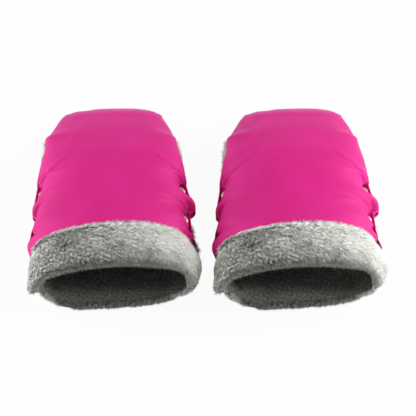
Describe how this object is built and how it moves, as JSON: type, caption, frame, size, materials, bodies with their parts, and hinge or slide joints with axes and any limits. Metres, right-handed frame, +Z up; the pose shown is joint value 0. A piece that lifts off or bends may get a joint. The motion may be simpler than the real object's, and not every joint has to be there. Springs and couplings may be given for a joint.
{
  "type": "stroller hand muff",
  "caption": "Pair of quilted hand muffs for a pushchair handlebar, with plush cuffs turned back over the mouths and press studs down the side edges.",
  "frame": {"origin": "middle of the pair's footprint, on the surface that the pair lies on", "axes": "+X across the pair from the left muff to the right one, +Y from the mouths to the closed tips, +Z up"},
  "size_m": [0.4714, 0.3076, 0.1093],
  "materials": {
    "shell_fabric": "proofed plain weave with a soft sheen",
    "wadding": "matt fibre fill",
    "plush": "short dense pile, brushed in clumps",
    "snap_metal": "satin nickel plate"
  },
  "bodies": {
    "muff_backs": {"left_back_shell": "shell_fabric", "left_back_wadding": "wadding", "left_back_lining": "plush", "left_back_cuff": "plush", "left_tip_shell": "shell_fabric", "left_tip_wadding": "wadding", "left_tip_lining": "plush", "left_snap_stud_1": "snap_metal", "left_snap_stud_2": "snap_metal", "left_snap_stud_3": "snap_metal", "left_snap_stud_4": "snap_metal", "left_snap_post_1": "snap_metal", "left_snap_post_2": "snap_metal", "left_snap_post_3": "snap_metal", "left_snap_post_4": "snap_metal", "right_back_shell": "shell_fabric", "right_back_wadding": "wadding", "right_back_lining": "plush", "right_back_cuff": "plush", "right_tip_shell": "shell_fabric", "right_tip_wadding": "wadding", "right_tip_lining": "plush", "right_snap_stud_1": "snap_metal", "right_snap_stud_2": "snap_metal", "right_snap_stud_3": "snap_metal", "right_snap_stud_4": "snap_metal", "right_snap_post_1": "snap_metal", "right_snap_post_2": "snap_metal", "right_snap_post_3": "snap_metal", "right_snap_post_4": "snap_metal"},
    "left_front": {"left_front_shell": "shell_fabric", "left_front_wadding": "wadding", "left_front_lining": "plush", "left_front_cuff": "plush", "left_snap_cap_1": "snap_metal", "left_snap_cap_2": "snap_metal", "left_snap_cap_3": "snap_metal", "left_snap_cap_4": "snap_metal", "left_snap_socket_1": "snap_metal", "left_snap_socket_2": "snap_metal", "left_snap_socket_3": "snap_metal", "left_snap_socket_4": "snap_metal"},
    "right_front": {"right_front_shell": "shell_fabric", "right_front_wadding": "wadding", "right_front_lining": "plush", "right_front_cuff": "plush", "right_snap_cap_1": "snap_metal", "right_snap_cap_2": "snap_metal", "right_snap_cap_3": "snap_metal", "right_snap_cap_4": "snap_metal", "right_snap_socket_1": "snap_metal", "right_snap_socket_2": "snap_metal", "right_snap_socket_3": "snap_metal", "right_snap_socket_4": "snap_metal"}
  },
  "joints": [
    {"name": "left_front_lift", "type": "hinge", "parent": "muff_backs", "child": "left_front", "pos_m": [-0.12155, 0.10177, 0.06196], "axis": [-1, 0, 0], "range_deg": [0, 60]},
    {"name": "right_front_lift", "type": "hinge", "parent": "muff_backs", "child": "right_front", "pos_m": [0.12345, 0.10177, 0.06196], "axis": [-1, 0, 0], "range_deg": [0, 60]}
  ]
}
